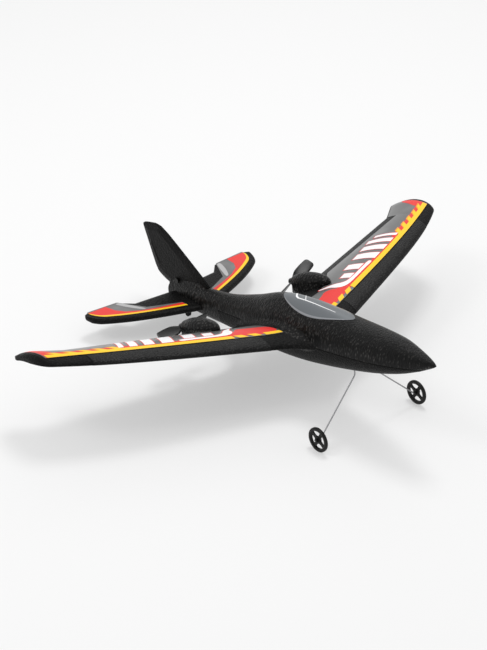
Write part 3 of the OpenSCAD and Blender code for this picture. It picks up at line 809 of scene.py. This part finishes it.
def blade(flip_over):
    rings = []
    outer_part = TIP_R + (PROP_R - TIP_R) * np.sin(np.linspace(0.15, math.pi / 2, 9))
    for r in np.concatenate([np.linspace(1.4, TIP_R, 34), outer_part]):
        t = r / PROP_R
        widen = 0.2 + 0.8 * math.sin(math.pi / 2 * min(1, t / 0.45))
        chord = 10 * (widen - 0.2 * (max(t - 0.5, 0) / 0.5) ** 2)
        tip = max(0.0, (r - TIP_R) / (PROP_R - TIP_R))
        chord *= 1 - 0.42 * tip ** 3.2
        thick = (1.5 - 0.8 * t) * (1 - 0.75 * tip ** 4)
        a = -math.radians(58 - 15 * t ** 0.7)
        ring = []
        for u, w in BLADE_FORM:
            u, w = u * chord, w * thick
            px, pz = u * math.sin(a) - w * math.cos(a), u * math.cos(a) + w * math.sin(a)
            ring.append((px, r, pz))
        rings.append(ring)
    v, f = shell(rings)
    return (v * [1, -1, -1], f) if flip_over else (v, f)


HUB_FORM = [(-4.5, 0.2), (-4.4, 1.0), (-4.1, 1.35), (-2.7, 2.4), (-2.4, 2.5), (2.3, 2.5), (2.6, 2.3),
            (2.6, 0.4)]
hub = lathe(HUB_FORM, (0, 0, 0), (1, 0, 0), 48)
prop_v, prop_f = joined([blade(False), blade(True), hub])


def at_engine(v, angle):
    """Propeller or pod geometry, drawn about X, placed on the port engine's axis."""
    c, s = math.cos(angle), math.sin(angle)
    v = np.asarray(v)
    y, z = v[:, 1] * c - v[:, 2] * s, v[:, 1] * s + v[:, 2] * c
    return ENGINE + v[:, :1] * AHEAD + y[:, None] * ACROSS + z[:, None] * UP


for side, sign, angle in (("port", 1, 24), ("starboard", -1, -2)):
    flip = sign < 0
    v, f = lathe(pod, (0, 0, 0), (1, 0, 0), 96)
    piece(side + "_nacelle_shell", at_engine(v, 0), f, FOAM, stands_for=[side + "_nacelle"],
          flip=flip)
    v = at_engine(prop_v, math.radians(angle))
    piece(side + "_propeller_blades", v, prop_f, GLOSS, body=side + "_propeller",
          stands_for=[side + "_propeller"], flip=flip, sharp=32)

    # skirt where the pod meets the wing
    rows = []
    for t in np.linspace(0.0, 1.0, 60):
        along = 5.2 + 36.5 * t
        centre = ENGINE + AHEAD * along
        r = pod_radius((along - 3.4) / 41)
        ring = []
        for s in (1, -1):
            ang = np.linspace(0, math.pi / 2, 200)
            yy = centre[1] + s * r * np.cos(ang)
            zz = centre[2] + r * np.sin(ang) * math.cos(TILT)
            xx = centre[0] - r * np.sin(ang) * math.sin(TILT)
            above = zz - wing_top(xx, yy)
            k = int(np.argmax(above > 0)) if (above > 0).any() else 0
            ring.append((xx[k], yy[k], zz[k]))
        rows.append(ring)
    parts = []
    for j, s in ((0, 1), (1, -1)):
        rings = []
        for i, ring in enumerate(rows):
            x, y, z = ring[j]
            k = 1.2 * math.sin(math.pi * min(1, (i + 2) / 62)) ** 0.5
            a = np.array([x, y + s * k, float(wing_top(np.float64(x), np.float64(y + s * k)) + 0.1)])
            b = np.array([x, y, z])
            c = np.array([x, y - s * 0.12 * k, z + k])
            q = np.linspace(0, 1, 7)[:, None]
            line = a * (1 - q) ** 2 + 2 * b * q * (1 - q) + c * q * q
            rings.append(np.concatenate([line, [[x, y - s * 1.0, z - 0.8]]]))
        parts.append(shell(rings))
    v, f = joined(parts)
    piece(side + "_nacelle_skirt", v, f, FOAM, flip=flip, sharp=75)


# ---------------------------------------------------------------- canopy
def canopy_edge(t):
    return 11.7 * 2.74 * t ** 0.7 * (1 - t) ** 0.75


def canopy_band(lo, hi, rise, steps=90, across=36):
    """The canopy between two parts of its half width, as a raised skin."""
    t = 0.004 + 0.986 * (1 - np.cos(np.pi * np.arange(steps + 1) / steps)) / 2
    rows = []
    for k in t:
        x = 5 + 75 * k
        w = canopy_edge(k)
        rows.append([(x, w * q, float(deck_z(x, w * q)) + rise(q)) for q in np.linspace(lo, hi, across + 1)])
    return rows


def canopy_rise(q):
    return 0.35 * min(1.0, (1 - abs(q)) / 0.06 + 0.12)


rows = np.array(canopy_band(-1, 1, canopy_rise))
under = rows.copy()
under[:, :, 2] = under[:, :, 2] - 0.5
rings = [np.concatenate([a, b[::-1]]) for a, b in zip(rows, under)]
v, f = shell(rings)
piece("canopy_shell", v, f, CANOPY, stands_for=["canopy"], sharp=60)
parts = []
line_main = [(62, -1.7), (62, -2.1), (22.4, -2.8), (19.2, -1.4), (8.8, 8.8), (9.5, 9.6), (20.0, -0.2),
             (23.0, -1.7)]
line_thin = [(30.0, -1.6), (29.0, -0.7), (17.8, 9.7), (18.2, 10.0), (29.5, -0.4), (30.8, -1.6)]
for outline in (line_main, line_thin):
    parts.append(laid(outline, deck_z, 0.4, 1.5))
v, f = joined(parts)
piece("canopy_lines", v, f, WHITE, sharp=60)
edge_rows = [canopy_band(-1.0, -0.93, lambda q: canopy_rise(q) + 0.03, across=3),
             canopy_band(0.93, 1.0, lambda q: canopy_rise(q) + 0.03, across=3)]
parts = [(np.array(r).reshape(-1, 3), grid(len(r), len(r[0]))) for r in edge_rows]
v, f = joined(parts)
piece("canopy_rim", v, f, CANOPY_RIM, sharp=60)

# ---------------------------------------------------------------- running gear
GEAR_X, AXLE_Z, WHEEL_Y = 82.0, -55.8, 48.0
line = [np.array(p, float) for p in
        [(GEAR_X, -51, AXLE_Z), (GEAR_X, -45.6, AXLE_Z), (GEAR_X, -7.7, -21.2), (GEAR_X, -7.7, -11),
         (GEAR_X, 7.7, -11), (GEAR_X, 7.7, -21.2), (GEAR_X, 45.6, AXLE_Z), (GEAR_X, 51, AXLE_Z)]]
path = [line[0]]
for a, b, c in zip(line, line[1:], line[2:]):
    r = min(1.5, 0.45 * np.linalg.norm(b - a), 0.45 * np.linalg.norm(c - b))
    p, q = b + (a - b) / np.linalg.norm(a - b) * r, b + (c - b) / np.linalg.norm(c - b) * r
    path += [p * (1 - t) ** 2 + 2 * b * t * (1 - t) + q * t * t for t in np.linspace(0, 1, 9)]
path.append(line[-1])
v, f = tube(path, 0.5)
piece("gear_wire_bent", v, f, STEEL, stands_for=["gear_wire"])

OUT = np.array([0, 1.0, 0])
rim = [(-1, 7.0), (-1, 8.9), (-0.86, 9.16), (-0.5, 9.3), (0.5, 9.3), (0.86, 9.16), (1, 8.9), (1, 7.0),
       (0.9, 6.85), (0, 6.8), (-0.9, 6.85)]


def ring_solid(profile, origin, axis, count=96):
    """Turned ring whose profile closes on itself."""
    v, f = lathe(profile + [profile[0]], origin, axis, count)
    return v, f[:-2]


wheel_hub = [(-1, 0.58), (-1, 2.5), (-0.8, 2.7), (0.8, 2.7), (1, 2.5), (1, 0.58)]
for side, sign in SIDES:
    hub_at = (GEAR_X, WHEEL_Y, AXLE_Z)
    parts = [ring_solid(rim, hub_at, OUT), ring_solid(wheel_hub, hub_at, OUT, 48)]
    for k in range(4):
        a = math.radians(40 + 90 * k)
        d = np.array([math.cos(a), 0, -math.sin(a)])
        n = np.array([math.sin(a), 0, math.cos(a)])
        rings = []
        for r, w in ((2.2, 1.75), (3.2, 1.38), (4.6, 1.25), (5.9, 1.38), (7.1, 1.9)):
            box = [(w, 0.35), (w - 0.25, 0.6), (-w + 0.25, 0.6), (-w, 0.35), (-w, -0.35), (-w + 0.25, -0.6),
                   (w - 0.25, -0.6), (w, -0.35)]
            rings.append([np.array(hub_at) + d * r + n * p + OUT * q for p, q in box])
        parts.append(shell(rings))
    v, f = joined(parts)
    piece(side + "_wheel_rim", v, f, BLACK, body=side + "_wheel",
          stands_for=[side + "_wheel"], flip=sign < 0)

# ---------------------------------------------------------------- what stays from the CAD
KEPT = {
    "port_spar": CARBON, "starboard_spar": CARBON, "fin_clip": GLOSS, "tail_skid": FOAM_FINE,
    "port_motor": MOTOR, "starboard_motor": MOTOR, "port_motor_cap": SHEEN, "starboard_motor_cap": SHEEN,
    "port_shaft": STEEL, "starboard_shaft": STEEL, "gear_clamp": BLACK, "port_wheel_cap": BLACK,
    "starboard_wheel_cap": BLACK, "port_wheel_collar": BLACK, "starboard_wheel_collar": BLACK,
    "battery": WRAP, "battery_tray": BLACK, "receiver_board": BOARD, "receiver_shield": TIN,
    "power_switch": TIN, "switch_slider": SHEEN, "charge_socket": SHEEN, "belly_plate": BLACK}
for name, m in KEPT.items():
    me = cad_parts[name].data
    me.materials.clear()
    me.materials.append(m)

# ---------------------------------------------------------------- stage
floor_me = bpy.data.meshes.new("floor")
floor_me.from_pydata([(-6, -6, 0), (6, -6, 0), (6, 6, 0), (-6, 6, 0)], [], [(0, 1, 2, 3)])
floor = bpy.data.objects.new("floor", floor_me)
paper = material("floor_white", (0.48, 0.48, 0.48), 0.95, 0, 0.05)
# A little light of the floor's own keeps the shadow as pale as in a lit sweep
glow = paper.node_tree.nodes["Principled BSDF"].inputs
glow["Emission Color"].default_value = (1, 1, 1, 1)
glow["Emission Strength"].default_value = 0.4
floor_me.materials.append(paper)
bpy.context.scene.collection.objects.link(floor)

world = bpy.data.worlds.new("studio")
world.use_nodes = True
world.node_tree.nodes["Background"].inputs["Color"].default_value = (1, 1, 1, 1)
world.node_tree.nodes["Background"].inputs["Strength"].default_value = 0.72
bpy.context.scene.world = world


def light(name, at, aim, size, power):
    data = bpy.data.lights.new(name, "AREA")
    data.shape = "RECTANGLE"
    data.size, data.size_y = size
    data.energy = power
    o = bpy.data.objects.new(name, data)
    o.location = at
    o.rotation_euler = (Vector(aim) - Vector(at)).to_track_quat("-Z", "Y").to_euler()
    bpy.context.scene.collection.objects.link(o)


light("key", (-0.25, -0.85, 1.15), (0, 0, 0.03), (0.4, 0.4), 3)
light("top", (-0.2, 0.32, 1.4), (0, 0, 0.03), (0.4, 0.4), 7.5)
light("far", (-0.9, 0.9, 0.9), (0, 0, 0.03), (0.8, 0.5), 1)

camera = bpy.data.objects.new("camera", bpy.data.cameras.new("camera"))
camera.data.lens = 99.69
camera.data.sensor_width = 36
camera.data.clip_start, camera.data.clip_end = 0.01, 20
camera.location = (0.8642, -0.7571, 0.7114)
camera.rotation_euler = Vector((-0.66125, 0.55462, -0.50511)).to_track_quat("-Z", "Y").to_euler()
bpy.context.scene.collection.objects.link(camera)
bpy.context.scene.camera = camera
bpy.context.scene.view_settings.view_transform = "Standard"
